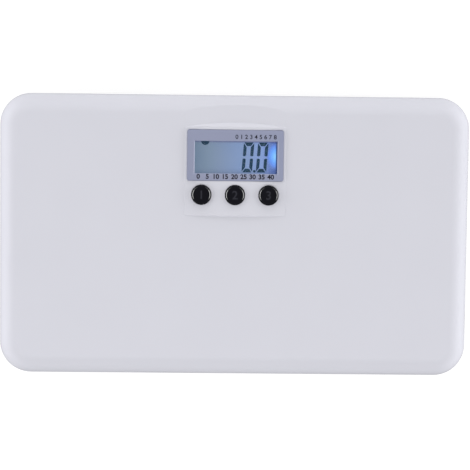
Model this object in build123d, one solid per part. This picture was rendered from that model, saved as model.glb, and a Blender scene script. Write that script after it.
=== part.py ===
from build123d import *
import os
from math import radians, sqrt, tan

# A flat digital baby scale: a moulded platform cover over a base tray, on four
# load-cell feet, with a liquid crystal display and three push buttons near the back.
# Millimetres. X runs side to side, Y front to back, Z up. The origin is on the
# surface that the scale stands on, under the middle of the platform.

# ---------------------------------------------------------------- driving dimensions

# platform cover
platform_length = 330.0     # side to side
platform_width = 197.2      # front to back
corner_radius = 22.0        # corners in plan
edge_radius = 13.0          # roll-off all round the deck
side_draft = 2.0            # degrees, on the skirt
cover_wall = 2.6
deck_z = 32.0               # top of the flat deck
skirt_z = 12.0              # lower edge of the skirt

# raised field that carries the display and the buttons
field_rise = 1.0            # along its middle
field_side_rise = 0.15      # along its sides: the field is crowned
field_half_width = 35.1
field_front_y = 14.6
field_back_y = 75.95
front_run = 3.4             # how far the slopes run out for each unit of fall
back_run = 1.35
trough_depth = 1.4          # shallow trough behind the field, which runs out of the edge
trough_half_width = 34.9

# display
bezel_length = 67.0
bezel_width = 35.5
bezel_y = 56.35
bezel_depth = 1.6
bezel_proud = 0.1
aperture_length = 57.3
aperture_width = 22.2
aperture_y = 55.1
lens_length = 62.0
lens_width = 27.0
lens_thickness = 1.2
lcd_top_z = 29.8
lcd_glass = 1.1
lcd_length = 60.6
lcd_width = 26.2
ledge_width = 2.4           # the front glass's ledges, which carry the contacts
guide_z = 24.9              # light guide
guide_top_z = 27.5

# buttons
button_radius = 6.85
button_gap = 0.25
button_pitch = 23.4
button_y = 28.8
button_proud = 1.1
button_travel = 0.7
plunger_z = 25.8            # the switch plungers, at rest
plunger_top_z = 28.4

# base tray
floor_z = 6.0               # underside of the tray
floor_wall = 2.2
tray_inset = 1.2            # how far the tray stands in from the cover
parting_gap = 0.6           # shadow gap between cover and tray
tray_bevel = 3.5
lip_z = 17.0                # top of the lip inside the skirt
lip_wall = 2.0

# load-cell feet
cell_x = 132.0
cell_y = 64.0
cell_size = 34.0
cell_plate = 1.8
cell_seat_z = 11.6
foot_radius = 18.0
foot_bore_radius = 17.0
foot_top_z = 4.6
pad_radius = 15.5
pad_thickness = 1.8
retainer_thickness = 2.2
retainer_size = 39.0

# batteries
cell_count = 3
battery_radius = 5.25
battery_length = 44.5
battery_pitch = 11.4
battery_z = 13.65
bay_y = -40.0
bay_half_length = 24.5
bay_half_width = 18.0
bay_wall = 2.0
door_thickness = 1.8
door_gap = 0.3
contact_wall = 0.4          # thickness of the contact plates
tag_reach = 1.5             # how far the end contacts' tags stand out of the bay

# circuit board
board_z = 22.0
board_thickness = 1.6
board_length = 92.0
board_front_y = 10.5
board_back_y = 80.0
lead_z = 16.5               # height at which the inner leads run

# ---------------------------------------------------------------- worked-out places

field_z = deck_z + field_rise
crown_fall = field_rise - field_side_rise
crown_radius = (field_half_width**2 + crown_fall**2) / (2 * crown_fall)
bezel_floor_z = field_z - bezel_depth
under_deck_z = deck_z - cover_wall
ledge_z = skirt_z - parting_gap
inner_floor_z = floor_z + floor_wall
retainer_z = cell_seat_z + cell_plate
retainer_top_z = retainer_z + retainer_thickness
tower_z = 14.0              # where the cover's screw posts stand on the tray's towers
rib_top_z = 11.0            # top of the tray's ribs
tongue_z = 13.6             # underside of the cover's tongues
tab_places = (-15, 15)      # the door's tabs
terminals = ((0, 1), (cell_count - 1, -1))      # the row and the side of each end contact
board_top_z = board_z + board_thickness
board_y = (board_front_y + board_back_y) / 2
bay_roof_z = battery_z + battery_radius + 0.15
hinge_y = bay_y + bay_half_width + 1.2 - door_gap     # the door swings about this edge

corners = {
    "front_left": (-1, -1),
    "front_right": (1, -1),
    "back_left": (-1, 1),
    "back_right": (1, 1),
}
button_places = {
    "left": -button_pitch,
    "middle": 0.0,
    "right": button_pitch,
}
housing_screw_places = [(-98, 79), (98, 79)]      # the back edge is screwed down
tongue_places = [-98, 98]                         # the front edge is held by tongues

# ---------------------------------------------------------------- helpers


def slab(length, width, radius, z_low, z_high, x=0.0, y=0.0, taper=0.0):
    """A flat piece with rounded corners, standing between two heights."""
    outline = RectangleRounded(length, width, radius)
    return Pos(x, y, z_low) * extrude(outline, z_high - z_low, taper=taper)


def block(length, width, z_low, z_high, x=0.0, y=0.0):
    """A square-cornered piece between two heights."""
    return Pos(x, y, z_low) * extrude(Rectangle(length, width), z_high - z_low)


def post(radius, z_low, z_high, x=0.0, y=0.0):
    """A round post between two heights."""
    return Pos(x, y, z_low) * extrude(Circle(radius), z_high - z_low)


def turned(points):
    """A solid of revolution about Z from its half profile, given as (radius, height)."""
    outline = Plane.XZ * make_face(Polyline(*points, close=True))
    return revolve(outline, Axis.Z)


def top_edges(part):
    """The highest ring of edges of a part."""
    return part.edges().group_by(Axis.Z)[-1]


def bottom_edges(part):
    """The lowest ring of edges of a part."""
    return part.edges().group_by(Axis.Z)[0]


# ---------------------------------------------------------------- platform cover


def cover_form(inset, z_top):
    """The outside of the cover, moved in by a wall thickness."""
    form = slab(
        platform_length - 2 * inset,
        platform_width - 2 * inset,
        corner_radius - inset,
        skirt_z,
        z_top,
        taper=side_draft,
    )
    return fillet(top_edges(form), edge_radius - inset)


def crowned_bar(half_width, end_z, front_y, back_y):
    """A bar along Y between the field's crowned top and a flat height above or below it."""
    side_z = field_z - crown_radius + sqrt(crown_radius**2 - half_width**2)
    crown = ThreePointArc((-half_width, side_z), (0, field_z), (half_width, side_z))
    rest = Polyline(
        (half_width, side_z), (half_width, end_z), (-half_width, end_z), (-half_width, side_z)
    )
    outline = Plane.XZ * make_face([crown, *rest.edges()])
    return Pos(0, back_y, 0) * extrude(outline, back_y - front_y)


def slope_cut(run, y):
    """What is above a slope that starts at the crowned top and runs out along Y."""
    outline = crowned_bar(field_half_width + 2, field_z + 3, y - 0.01, y).faces().sort_by(Axis.Y)[-1]
    return extrude(outline, 6.0, dir=(0, run, -1))


def display_field():
    """The raised field: crowned from side to side, with a slope at its front and its back."""
    front_y = field_front_y - front_run * (field_rise + 0.1)
    back_y = field_back_y + back_run * (field_rise + trough_depth + 0.1)
    root_z = deck_z - trough_depth - 0.4
    field = crowned_bar(field_half_width, root_z, front_y, back_y)
    return field - slope_cut(-front_run, field_front_y) - slope_cut(back_run, field_back_y)


def deck_trough():
    """What the trough behind the field takes out of the deck and its rounded edge."""
    floor = ThreePointArc(
        (-trough_half_width, deck_z), (0, deck_z - trough_depth), (trough_half_width, deck_z)
    )
    above = Polyline(
        (trough_half_width, deck_z), (trough_half_width, deck_z + 2),
        (-trough_half_width, deck_z + 2), (-trough_half_width, deck_z),
    )
    outline = Plane.XZ * make_face([floor, *above.edges()])
    return Pos(0, platform_width / 2 + 1, 0) * extrude(outline, platform_width / 2 + 2 - field_back_y)


def cover_ribs():
    """The grid of ribs under the deck that spreads the load to the four cells."""
    rib = 1.8
    rib_bottom_z = 23.0
    grid = Part()
    for y in (-64, -20):
        grid += block(220, rib, rib_bottom_z, under_deck_z, 0, y)
    for x in (-60, 60):
        grid += block(rib, platform_width, rib_bottom_z, under_deck_z, x, 0)
    display_room = block(104, 92, 0, deck_z, 0, 44)
    return (grid - display_room) & cover_form(cover_wall - 0.4, under_deck_z + 0.2)


def load_ring(x_side, y_side):
    """The square collar that presses on a cell's retainer, notched for the cell's lead."""
    x, y = x_side * cell_x, y_side * cell_y
    collar = block(36, 36, retainer_top_z, under_deck_z, x, y)
    collar -= block(32, 32, retainer_top_z, under_deck_z, x, y)
    notch = block(6, 8, retainer_top_z, retainer_top_z + 4, x - x_side * 17, y)
    return collar - notch


def board_hooks():
    """The snap hooks that hold the circuit board up against their stops."""
    hooks = Part()
    for x_side in (-1, 1):
        for y in (18, 72):
            edge_x = x_side * (board_length / 2 + 0.2)
            arm = block(1.6, 5, board_z - 1.4, under_deck_z, edge_x + x_side * 0.8, y)
            nose = block(2.6, 5, board_z - 1.4, board_z, edge_x + x_side * 0.3, y)
            stop = block(3.0, 3.0, board_top_z, under_deck_z, edge_x - x_side * 1.5, y)
            hooks += arm + nose + stop
    return hooks


def platform_cover():
    """The one-piece moulded cover, with its field, ribs, collars, hooks and screw posts."""
    cover = cover_form(0, deck_z) - deck_trough() + display_field()
    inside = slab(
        platform_length - 2 * cover_wall, platform_width - 2 * cover_wall,
        corner_radius - cover_wall, skirt_z, under_deck_z, taper=side_draft,
    )
    cover -= chamfer(top_edges(inside), 0.6 * edge_radius)
    cover += cover_ribs()
    for x_side, y_side in corners.values():
        cover += load_ring(x_side, y_side)
    for x, y in housing_screw_places:
        cover += block(8, 8, tower_z, under_deck_z, x, y)
        cover -= post(1.3, tower_z, tower_z + 9, x, y)
    for x in tongue_places:
        cover += block(12, 4.0, tongue_z, tongue_z + 1.6, x, 4.4 - platform_width / 2)
    cover += board_hooks()
    cover -= slab(
        bezel_length + 0.4, bezel_width + 0.4, 1.8, bezel_floor_z, field_z + 1, 0, bezel_y
    )
    cover -= block(lens_length + 0.4, lens_width + 0.4, under_deck_z - 1, field_z, 0, aperture_y)
    for x in button_places.values():
        cover -= post(button_radius + button_gap, under_deck_z - 1, field_z + 1, x, button_y)
    return cover


# ---------------------------------------------------------------- base tray


def screw_tower(x, y):
    """A housing screw's tower, and the countersunk hole through it."""
    tower = block(9, 9, floor_z, tower_z, x, y)
    hole = turned([(0, floor_z), (3.4, floor_z), (1.6, floor_z + 1.8), (1.6, tower_z), (0, tower_z)])
    return tower, Pos(x, y, 0) * hole


def cell_nest(x_side, y_side):
    """A load cell's nest: a square block with a pocket for the plate, a bore for the foot
    and a catch on each side that holds the retainer down."""
    x, y = x_side * cell_x, y_side * cell_y
    nest = block(retainer_size, retainer_size, floor_z, retainer_z, x, y)
    for side in (-1, 1):
        arm_y = y + side * (retainer_size / 2 + 1.0)
        nest += block(6, 1.6, floor_z, retainer_top_z + 1.2, x, arm_y)
        nest += block(6, 1.4, retainer_top_z, retainer_top_z + 1.2, x, arm_y - side * 1.5)
    pocket = block(cell_size + 0.4, cell_size + 0.4, cell_seat_z, retainer_z, x, y)
    bore = post(foot_bore_radius, floor_z, cell_seat_z, x, y)
    return nest, pocket + bore


def battery_rows():
    """The Y of each battery's axis."""
    first = bay_y - battery_pitch * (cell_count - 1) / 2
    return [first + battery_pitch * i for i in range(cell_count)]


def battery_bay():
    """The battery bay: its walls, and the room inside with a round saddle for each battery."""
    walls = block(
        2 * (bay_half_length + bay_wall), 2 * (bay_half_width + bay_wall),
        floor_z, bay_roof_z + bay_wall, 0, bay_y,
    )
    room = block(2 * bay_half_length, 2 * bay_half_width, floor_z, battery_z, 0, bay_y)
    for y in battery_rows():
        saddle = extrude(Plane.YZ * Circle(battery_radius + 0.15), bay_half_length, both=True)
        room += Pos(0, y, battery_z) * saddle
    room += block(
        2 * bay_half_length + 3, 2 * bay_half_width + 2.4, floor_z, floor_z + 2, 0, bay_y
    )
    for x in tab_places:
        room += block(9, 3.4, 9.0, 11.2, x, bay_y + bay_half_width + 1)
    for row, side in terminals:
        x = side * (bay_half_length + 1)
        room += block(4, 1.0, lead_z - 1.5, lead_z + 1.0, x, battery_rows()[row])
    return walls, room


def base_tray():
    """The tray that everything is built into, open at the top."""
    tray = slab(
        platform_length - 2 * tray_inset,
        platform_width - 2 * tray_inset,
        corner_radius - tray_inset,
        floor_z,
        ledge_z,
    )
    tray = chamfer(bottom_edges(tray), tray_bevel)
    lip_inset = cover_wall + 0.6
    tray += slab(
        platform_length - 2 * lip_inset, platform_width - 2 * lip_inset,
        corner_radius - lip_inset, ledge_z - 1, lip_z,
    )
    room_inset = lip_inset + lip_wall
    tray -= slab(
        platform_length - 2 * room_inset, platform_width - 2 * room_inset,
        corner_radius - room_inset, inner_floor_z, lip_z,
    )
    for side in (-1, 1):
        tray += block(1.6, 184, floor_z, rib_top_z, side * 60, 0)
        tray += block(90, 1.6, floor_z, rib_top_z, side * 105, 0)
    for x in tongue_places:
        tray -= block(12.6, 6, tongue_z - 0.3, tongue_z + 1.9, x, 4.0 - platform_width / 2)
    bay_walls, bay_room = battery_bay()
    tray += bay_walls
    features = [cell_nest(*sides) for sides in corners.values()]
    features += [screw_tower(x, y) for x, y in housing_screw_places]
    for solid, _ in features:
        tray += solid
    for _, hole in features:
        tray -= hole
    finger_dip = Pos(0, bay_y - bay_half_width - 5, floor_z - 11) * extrude(
        Plane.YZ * Circle(12), 8, both=True
    )
    return tray - bay_room - finger_dip


def battery_door():
    """The door: a plate with two tabs at the back, a latch at the front and inner ribs."""
    length = 2 * bay_half_length + 3 - 2 * door_gap
    width = 2 * bay_half_width + 2.4 - 2 * door_gap
    top_z = floor_z + door_thickness
    front_y = bay_y - width / 2
    door = block(length, width, floor_z, top_z, 0, bay_y)
    for x in tab_places:
        door += block(7, 1.3, floor_z, 10.6, x, hinge_y - 1.85)
        door += block(7, 3.3, 9.4, 10.6, x, hinge_y - 0.85)
    for x in (-20, 20):
        door += block(1.2, 26, floor_z, top_z + 0.4, x, bay_y)
    for x in (-7.6, 7.6):
        door -= block(0.8, 12, 0, top_z, x, front_y + 6)
    door += block(10, 1.4, floor_z, 9.6, 0, front_y + 2.0)
    for i in range(3):
        door -= block(10, 0.8, 0, floor_z + 0.5, 0, front_y + 4.0 + 2.0 * i)
    return door


# ---------------------------------------------------------------- display


def display_frame():
    """The satin bezel, with a bevelled edge round its aperture."""
    top_z = field_z + bezel_proud
    frame = slab(bezel_length, bezel_width, 1.6, bezel_floor_z, top_z, 0, bezel_y)
    frame = chamfer(top_edges(frame), 0.3)
    frame -= block(aperture_length, aperture_width, bezel_floor_z, top_z, 0, aperture_y)
    bevel = Pos(0, aperture_y, top_z) * extrude(
        Rectangle(aperture_length + 1.2, aperture_width + 1.2), -0.6, taper=45
    )
    return frame - bevel


def display_lens():
    """The clear window under the bezel."""
    return block(
        lens_length, lens_width, bezel_floor_z - lens_thickness, bezel_floor_z, 0, aperture_y
    )


def lcd_panel():
    """The liquid crystal cell: a wide front glass, a narrower back glass and a polariser."""
    front = block(lcd_length, lcd_width, lcd_top_z - lcd_glass, lcd_top_z, 0, aperture_y)
    back = block(
        lcd_length, lcd_width - 2 * ledge_width,
        lcd_top_z - 2 * lcd_glass, lcd_top_z - lcd_glass, 0, aperture_y,
    )
    polariser = block(58.4, 23.4, lcd_top_z, lcd_top_z + 0.2, 0, aperture_y)
    return front + back + polariser


def zebra_strips():
    """The two elastomer strips that join the front glass to the board."""
    strips = Part()
    for side in (-1, 1):
        y = aperture_y + side * (lcd_width / 2 - ledge_width / 2)
        strips += block(56, 1.8, board_top_z, lcd_top_z - lcd_glass, 0, y)
    return strips


def backlight_guide():
    """The clear plate that carries the lamp's light under the display."""
    guide = block(57.0, 20.6, guide_z, guide_top_z, 0, aperture_y)
    wedge = Pos(-28.5, aperture_y, guide_z) * Rot(0, 2.4, 0) * Box(70, 30, 3, align=(
        Align.CENTER, Align.CENTER, Align.MAX))
    return guide - wedge


def backlight_led():
    """The blue lamp at the right end of the light guide."""
    body = block(2.6, 4.0, guide_z, guide_top_z - 0.3, 30.0, aperture_y)
    return body + block(0.2, 3.0, guide_z + 0.5, guide_top_z - 0.8, 28.6, aperture_y)


def lcd_holder():
    """The white frame that stands on the board and holds the display and its light guide."""
    holder = block(67.6, 31.0, board_top_z, 29.2, 0, aperture_y)
    holder -= block(60.9, 26.5, lcd_top_z - 2 * lcd_glass, 30, 0, aperture_y)
    holder -= block(57.4, 20.9, guide_z, 30, 0, aperture_y)
    holder -= block(3.4, 4.4, guide_z, 30, 30.3, aperture_y)
    for side in (-1, 1):
        y = aperture_y + side * (lcd_width / 2 - ledge_width / 2)
        holder -= block(56.4, 2.0, board_top_z, 30, 0, y)
    return holder


# ---------------------------------------------------------------- circuit board


def main_board():
    """The circuit board, held up under the display by the cover's hooks."""
    return block(board_length, board_back_y - board_front_y, board_z, board_top_z, 0, board_y)


def processor_chip():
    """The processor, on the underside of the board, with its rows of legs."""
    chip = block(10, 10, board_z - 1.8, board_z - 0.2, 12, 56)
    legs = block(13, 9, board_z - 0.2, board_z, 12, 56)
    legs += block(9, 13, board_z - 0.2, board_z, 12, 56)
    return chamfer(bottom_edges(chip), 0.4) + legs


def board_resistors():
    """The row of small chip resistors along the right of the board."""
    chips = Part()
    for i in range(6):
        chips += block(2.0, 1.25, board_top_z, board_top_z + 0.6, 40, 26 + 3.2 * i)
    return chips


def board_plugs():
    """The plugs of the inner leads, hanging under the board."""
    plugs = Part()
    for x_side, y_side in corners.values():
        plugs += block(6.0, 7.6, lead_z - 1.2, board_z, x_side * 38, 49 + y_side * 15)
    for x_side in (-1, 1):
        plugs += block(6.0, 6.0, lead_z - 1.2, board_z, x_side * 34, board_front_y + 4)
    return plugs


def housing_screws():
    """The two countersunk screws that hold the tray to the back of the cover."""
    screws = Part()
    for x, y in housing_screw_places:
        screws += Pos(x, y, 0) * turned([
            (0, floor_z + 0.2), (3.0, floor_z + 0.2), (1.2, floor_z + 2.0),
            (1.2, tower_z + 8), (0, tower_z + 8),
        ])
    return screws


# ---------------------------------------------------------------- buttons


def tact_switch(x):
    """A tact switch body, with the square well that its plunger works in."""
    body = block(6.0, 6.0, board_top_z, 27.0, x, button_y)
    return body - block(3.0, 3.0, plunger_z - button_travel - 0.2, 27.0, x, button_y)


def switch_plunger(x):
    """The square plunger of a tact switch."""
    return block(2.4, 2.4, plunger_z, plunger_top_z, x, button_y)


def push_button(x):
    """A glossy round cap, dished to a raised rim, with two stop tabs and a stem."""
    r = button_radius
    top_z = field_z + button_proud
    cap = turned([
        (0, 29.8), (r, 29.8), (r, top_z - 0.7), (r - 0.9, top_z), (r - 2.2, top_z - 0.3),
        (0, top_z - 0.3),
    ])
    cap += block(3.0, 3.0, plunger_top_z, 29.8)
    for side in (-1, 1):
        cap += block(1.2, 3.0, 28.2, 29.8, side * (r - 0.8))
        cap += block(1.8, 3.0, 28.2, 29.1, side * (r + 0.5))
    return Pos(x, button_y, 0) * cap


# ---------------------------------------------------------------- load-cell feet


def place(part, x_side, y_side):
    """Puts a corner's piece in its place, with its root turned to the middle of the scale."""
    return Pos(x_side * cell_x, y_side * cell_y, 0) * Rot(0, 0, 0 if x_side > 0 else 180) * part


def at_each_corner(part):
    """A group of four of the same piece, one at each corner."""
    group = Part()
    for sides in corners.values():
        group += place(part, *sides)
    return group


def cut_corners(length, width, cut):
    """A rectangle with its corners cut off."""
    outline = Rectangle(length, width)
    return chamfer(outline.vertices(), cut)


def load_cell():
    """The stamped steel plate: a square frame with a tongue that ends in a wide head."""
    frame = cut_corners(cell_size, cell_size, 2.5) - cut_corners(25, 25, 1.5)
    tongue = Pos(-6, 0) * Rectangle(14, 9)
    waist = [Pos(-9.0, side * 4.5) * Rectangle(2.4, 2.0) for side in (-1, 1)]
    head = Pos(2, 0) * cut_corners(13, 19, 2)
    plate = frame + tongue + head - waist
    return Pos(0, 0, cell_seat_z) * extrude(plate, cell_plate)


def strain_gauge():
    """The block of resin over the strain gauge, on the narrow part of the tongue."""
    return block(6.4, 7.0, retainer_z, lead_z + 0.8, -9.4, 0)


def cell_retainer():
    """The plastic frame that holds the plate down in its nest."""
    ring = Pos(0, 0, retainer_z) * extrude(cut_corners(38.6, 38.6, 2), retainer_thickness)
    return ring - block(26, 26, retainer_z, retainer_top_z)


def foot_cup():
    """The foot: a round disc, stiffened by a cross of ribs that rises to the load cell."""
    disc = post(foot_radius, pad_thickness, foot_top_z)
    for length, z_high in ((28, foot_top_z + 2.4), (9, cell_seat_z)):
        disc += block(length, 2.0, foot_top_z, z_high) + block(2.0, length, foot_top_z, z_high)
    return disc


def foot_pad():
    """The rubber pad under a foot."""
    return post(pad_radius, 0, pad_thickness)


# ---------------------------------------------------------------- batteries


def plus_side(row):
    """Which end wall a battery's plus end faces: they alternate along the row."""
    return 1 if row % 2 == 0 else -1


def battery(row):
    """A small cylindrical battery, lying along X, with its plus end against its contact."""
    side = plus_side(row)
    minus_x = side * (bay_half_length - contact_wall - battery_length)
    cell = Pos(minus_x, battery_rows()[row], battery_z) * (Plane.YZ * Circle(battery_radius))
    return extrude(cell, side * battery_length)


def battery_plates():
    """The contact plates on the end walls: two that each join one battery to the next, and
    two single ones at the ends of the chain, with a tag through the wall to the leads."""
    rows = battery_rows()
    x = bay_half_length - contact_wall / 2
    plates = Part()
    for side, first in ((-1, 0), (1, 1)):
        plate = block(
            contact_wall, battery_pitch, 9.8, 13.3, side * x, rows[first] + battery_pitch / 2
        )
        for row in (first, first + 1):
            plate += block(contact_wall, 7.0, 9.8, 17.0, side * x, rows[row])
        plates += plate
    for row, side in terminals:
        plate = block(contact_wall, 7.0, 9.8, 17.0, side * x, rows[row])
        tag_length = contact_wall + bay_wall + tag_reach
        tag_x = bay_half_length - contact_wall + tag_length / 2
        tag = block(tag_length, contact_wall, lead_z - 1, lead_z + 0.5, side * tag_x, rows[row])
        plates += plate + tag
    return plates


def battery_springs():
    """The minus contacts: bent leaves that push each battery against its plus contact."""
    bow = 2 * bay_half_length - 2 * contact_wall - battery_length
    wall = 0.4
    leaf = make_face(Polyline(
        (-3.4, 0), (-0.8, bow), (0.8, bow), (3.4, 0), (3.4 - wall, 0),
        (0.6, bow - wall), (-0.6, bow - wall), (-3.4 + wall, 0), close=True,
    ))
    springs = Part()
    for row, y in enumerate(battery_rows()):
        side = plus_side(row)
        wall_x = -side * (bay_half_length - contact_wall)
        springs += Pos(wall_x, y, 10.6) * Rot(0, 0, -90 * side) * extrude(leaf, 6.0)
    return springs


# ---------------------------------------------------------------- inner leads


def lead(points, width, thickness):
    """A lead lying flat at one height: straight runs joined by arcs as large as they allow."""
    route = [Vector(x, y, lead_z) for x, y in points]
    radii = []
    for before, corner, after in zip(route, route[1:], route[2:]):
        turn = radians((corner - before).get_angle(after - corner))
        shorter = min((corner - before).length, (after - corner).length)
        radii.append(0.45 * shorter / tan(turn / 2))
    path = FilletPolyline(*route, radius=radii)
    section = Plane(route[0], x_dir=(0, 0, 1), z_dir=path % 0) * Rectangle(thickness, width)
    return sweep(section, path)


def cell_lead(x_side, y_side):
    """The three wires of a load cell, side by side, from its gauge to its plug."""
    gauge_x = x_side * (cell_x - 12.6)
    plug_x = x_side * 41.0
    if y_side > 0:
        return block(
            abs(gauge_x - plug_x), 3.6, lead_z - 0.6, lead_z + 0.6, (gauge_x + plug_x) / 2, cell_y
        )
    bends = [(x_side * 80, -cell_y), (x_side * 64, 34)]
    return lead([(gauge_x, -cell_y), *bends, (plug_x, 34)], 3.6, 1.2)


def battery_lead(row, side):
    """A battery lead: out from its tag and along the side of the bay to its plug."""
    tag_x = bay_half_length + bay_wall + tag_reach
    y = battery_rows()[row]
    route = [(side * tag_x, y), (side * 34, y), (side * 34, board_front_y + 1)]
    return lead(route, 1.5, 1.5)


# ---------------------------------------------------------------- all the pieces


def all_parts():
    """Every piece by its name."""
    parts = {
        "platform_cover": platform_cover(),
        "base_tray": base_tray(),
        "battery_door": battery_door(),
        "display_frame": display_frame(),
        "display_lens": display_lens(),
        "lcd_panel": lcd_panel(),
        "lcd_holder": lcd_holder(),
        "zebra_strips": zebra_strips(),
        "backlight_guide": backlight_guide(),
        "backlight_led": backlight_led(),
        "main_board": main_board(),
        "processor_chip": processor_chip(),
        "board_resistors": board_resistors(),
        "board_plugs": board_plugs(),
        "housing_screws": housing_screws(),
        "battery_plates": battery_plates(),
        "battery_springs": battery_springs(),
        "lead_battery_plus": battery_lead(*terminals[0]),
        "lead_battery_minus": battery_lead(*terminals[1]),
        "foot_cups": at_each_corner(foot_cup()),
        "foot_pads": at_each_corner(foot_pad()),
    }
    for name, x in button_places.items():
        parts["button_" + name] = push_button(x)
        parts["switch_" + name] = tact_switch(x)
        parts["switch_plunger_" + name] = switch_plunger(x)
    for name, sides in corners.items():
        parts["load_cell_" + name] = place(load_cell(), *sides)
        parts["strain_gauge_" + name] = place(strain_gauge(), *sides)
        parts["cell_retainer_" + name] = place(cell_retainer(), *sides)
        parts["lead_" + name] = cell_lead(*sides)
    for row in range(cell_count):
        parts["battery_" + str(row + 1)] = battery(row)
    return parts


if __name__ == "__main__":
    os.makedirs("parts", exist_ok=True)
    for name, part in all_parts().items():
        export_step(part, f"parts/{name}.step")
        print(name, len(part.solids()))
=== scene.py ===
import math
import bmesh
import bpy
from mathutils import Matrix, Vector


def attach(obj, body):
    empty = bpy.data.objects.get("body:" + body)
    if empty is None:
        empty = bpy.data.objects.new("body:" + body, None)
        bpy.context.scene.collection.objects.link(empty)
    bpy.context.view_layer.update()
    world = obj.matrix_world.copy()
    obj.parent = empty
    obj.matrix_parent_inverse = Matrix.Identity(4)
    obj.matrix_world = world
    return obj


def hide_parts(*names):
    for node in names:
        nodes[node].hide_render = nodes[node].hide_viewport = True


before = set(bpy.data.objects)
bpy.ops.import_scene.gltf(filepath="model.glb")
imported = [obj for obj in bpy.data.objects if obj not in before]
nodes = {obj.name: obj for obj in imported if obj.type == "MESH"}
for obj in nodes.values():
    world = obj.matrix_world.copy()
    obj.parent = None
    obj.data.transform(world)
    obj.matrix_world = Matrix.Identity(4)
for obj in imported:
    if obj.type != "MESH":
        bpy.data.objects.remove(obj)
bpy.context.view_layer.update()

# A digital baby scale. Pieces are shaped in millimetres and made metres at the end.
# X runs side to side, Y front to back, Z up from the surface that the scale stands on.

# ---------------------------------------------------------------- sizes, as in the source

PLATFORM_LENGTH, PLATFORM_WIDTH = 330.0, 197.2
CORNER_RADIUS, EDGE_RADIUS, COVER_WALL = 22.0, 13.0, 2.6
SKIRT_Z, DECK_Z = 12.0, 32.0
UNDER_DECK_Z = DECK_Z - COVER_WALL
DRAFT = math.tan(math.radians(2))
EDGE_RUN = EDGE_RADIUS / math.tan(math.radians(46))     # how far in the roll-off starts
EDGE_Y = PLATFORM_WIDTH / 2 - DRAFT * (DECK_Z - SKIRT_Z) - EDGE_RUN

FIELD_Z = 33.0
FIELD_HALF, FIELD_FALL = 35.1, 0.85      # half width, and how far it falls to its sides
FIELD_FRONT, FIELD_BACK = 14.6, 75.95
FRONT_RUN, BACK_RUN = 0.9, 1.3          # how far its slopes run out for each unit of fall
TROUGH_DEPTH, TROUGH_HALF = 1.4, 34.9

BEZEL_LENGTH, BEZEL_WIDTH, BEZEL_Y, BEZEL_FLOOR_Z = 67.0, 35.5, 56.35, 31.4
APERTURE_LENGTH, APERTURE_WIDTH, APERTURE_X, APERTURE_Y = 57.5, 22.5, 0.5, 54.95
LENS_LENGTH, LENS_WIDTH, LENS_Y = 62.0, 27.0, 55.1
ROOM = 0.4                              # what the bezel and the lens have to spare in all
CONTROLS_HALF, CONTROLS_FRONT, CONTROLS_BACK = 50.0, 4.0, 94.5     # where rows are shifted
ROLL_OFF_Z = 26.0                       # only faces above this are cut

BUTTON_RADIUS, BUTTON_GAP, BUTTON_Y, BUTTON_PITCH = 6.85, 0.25, 28.8, 23.4
BUTTONS = {"left": -BUTTON_PITCH, "middle": 0.0, "right": BUTTON_PITCH}
CAP_MIDDLE_Z = 33.62
CAP_FLOOR_Z, CAP_LEGS_Z = 29.8, 28.2
CAP_RIM = [                             # how far in from the cap's side, and how high
    (0.0, 33.25), (0.04, 33.55), (0.12, 33.8), (0.25, 33.98), (0.4, 34.08), (0.52, 34.1),
    (0.6, 34.09), (0.68, 34.04), (0.76, 33.98), (0.84, 33.91), (0.92, 33.84), (1.0, 33.77),
    (1.1, 33.7), (1.3, 33.64), (1.8, CAP_MIDDLE_Z),
]

BEZEL_TOP_Z = FIELD_Z + 0.1
CELL_TOP_Z = 30.0                       # the display cell's polariser
INK = 0.05                              # the thickness of the display's segments
PRINT = 0.02                            # how far print stands up from its surface
FIGURE_RISE = 0.72                      # the height of a figure in a font of size one
PRINT_ROWS = [                          # figures, height, weight, first x, step, y
    ("0 5 10 15 20 25 30 35 40", 3.3, 0.14, -25.7, 6.3, 41.6),
    ("0 1 2 3 4 5 6 7 8", 3.0, 0.06, 0.9, 3.33, 69.3),
]

# a nought's head wedge and upper side bar, from its middle, and how far each is rounded
NOUGHT_WEDGE = [(-3.15, 10.45), (3.15, 10.45), (1.5, 7.85), (-1.5, 7.85)]
NOUGHT_BAR = [(3.65, 9.95), (3.65, 1.0), (2.6, 0.7), (1.45, 1.2), (1.45, 7.0)]
WEDGE_ROUND, BAR_ROUND, NOUGHT_LEAN = 0.35, 0.3, 4
NOUGHTS_X, NOUGHTS_Y = (8.8, 18.7), APERTURE_Y + 0.15
POINT_X, POINT_Y, POINT_RADIUS = 13.35, APERTURE_Y - 9.5, 0.9
HALF_DISC_X, HALF_DISC_Y, HALF_DISC_RADIUS = -21.0, APERTURE_Y + 11.35, 2.9

# inside: where the moulded ribs root, the load cells, the board, and the battery bay
ROOT_Z, RIB_Z, TOWER_Z, BOARD_Z = UNDER_DECK_Z + 0.3, 23.0, 14.0, 22.0
CELL_X, CELL_Y, RETAINER_TOP_Z = 132.0, 64.0, 15.6
COLLAR_HALF = 17.0
BAY_Y, BAY_HALF, BATTERY_PITCH, BATTERY_Z = -40.0, 24.5, 11.4, 13.65
BATTERY_LENGTH = 44.5
SCREW_X, SCREW_Y = 98.0, 79.0

CORNERS = {
    "front_left": (-1, -1),
    "front_right": (1, -1),
    "back_left": (-1, 1),
    "back_right": (1, 1),
}

# ---------------------------------------------------------------- mesh helpers

MERGE = 0.0005                          # points this close are one point


def mark_sharp(bm, angle):
    """Smooth faces, with a hard edge wherever the surface turns by more than an angle."""
    limit = math.radians(angle)
    for face in bm.faces:
        face.smooth = True
    for edge in bm.edges:
        edge.smooth = edge.is_manifold and edge.calc_face_angle(0.0) < limit


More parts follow.
